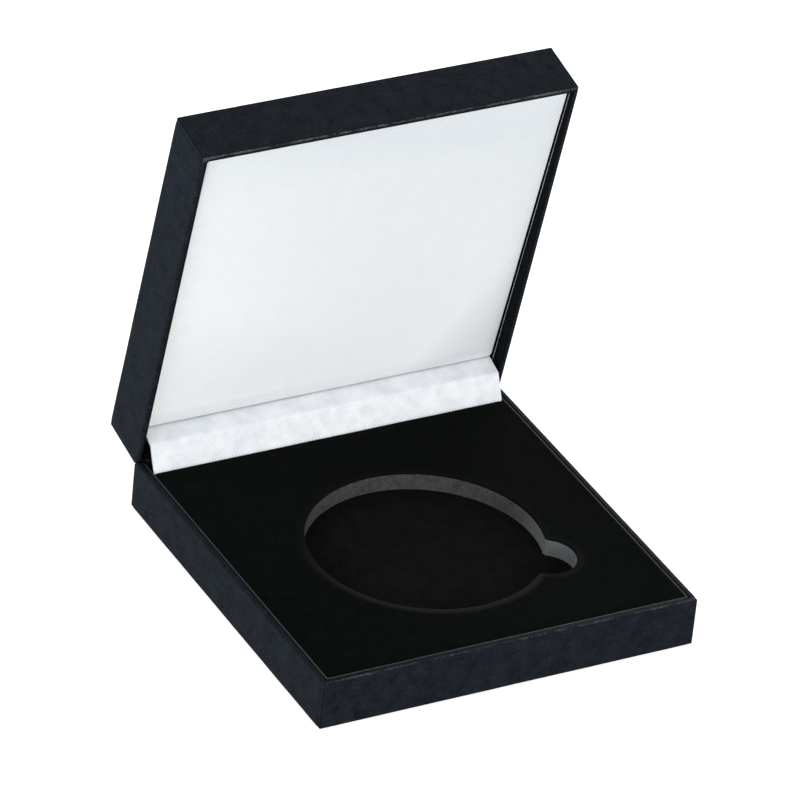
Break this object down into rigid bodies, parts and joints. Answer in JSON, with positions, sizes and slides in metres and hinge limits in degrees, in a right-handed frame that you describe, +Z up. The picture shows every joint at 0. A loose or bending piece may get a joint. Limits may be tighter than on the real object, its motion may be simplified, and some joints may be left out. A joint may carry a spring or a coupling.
{
  "type": "coin display case",
  "caption": "Shallow square hinged presentation case with a padded satin-lined lid and a black flocked pad with a round coin recess and thumb notch.",
  "frame": {"origin": "middle of the underside, where the case stands on a surface", "axes": "+X along the hinge to the right, +Y to the back (hinge side), +Z up"},
  "size_m": [0.088, 0.1, 0.0994],
  "materials": {
    "greyboard": "matte",
    "leatherette": "satin",
    "black_card": "matte",
    "black_flock": "matte",
    "black_foam": "matte",
    "grey_foam": "matte",
    "white_card": "matte",
    "white_wadding": "matte",
    "white_satin": "satin",
    "underside_paper": "matte",
    "brass_plate": "satin",
    "spring_steel": "satin"
  },
  "bodies": {
    "base": {"base_floor_board": "greyboard", "base_wall_left": "greyboard", "base_wall_right": "greyboard", "base_wall_front": "greyboard", "base_wall_back": "greyboard", "base_wrap": "leatherette", "base_collar": "black_card", "underside_sheet": "underside_paper", "pad_spacer_foam": "black_foam", "recess_floor_card": "black_flock", "pad_foam": "black_foam", "pad_flock": "black_flock", "hinge_base_leaf": "brass_plate", "hinge_pin": "spring_steel", "base_rivets": "brass_plate", "bow_spring_left": "spring_steel", "bow_spring_right": "spring_steel", "strip_card": "white_card", "strip_satin": "white_satin"},
    "lid": {"lid_top_board": "greyboard", "lid_wall_left": "greyboard", "lid_wall_right": "greyboard", "lid_wall_front": "greyboard", "lid_wall_back": "greyboard", "lid_wrap": "leatherette", "lid_backing_foam": "grey_foam", "lining_card": "white_card", "lining_wadding": "white_wadding", "lining_satin": "white_satin", "hinge_lid_leaf": "brass_plate", "lid_rivets": "brass_plate"}
  },
  "joints": [
    {"name": "lid_hinge", "type": "hinge", "parent": "base", "child": "lid", "pos_m": [0, 0.0431, 0.0116], "axis": [1, 0, 0], "range_deg": [0, 78], "deforming": ["strip_satin", "strip_card", "bow_spring_left", "bow_spring_right"]}
  ]
}
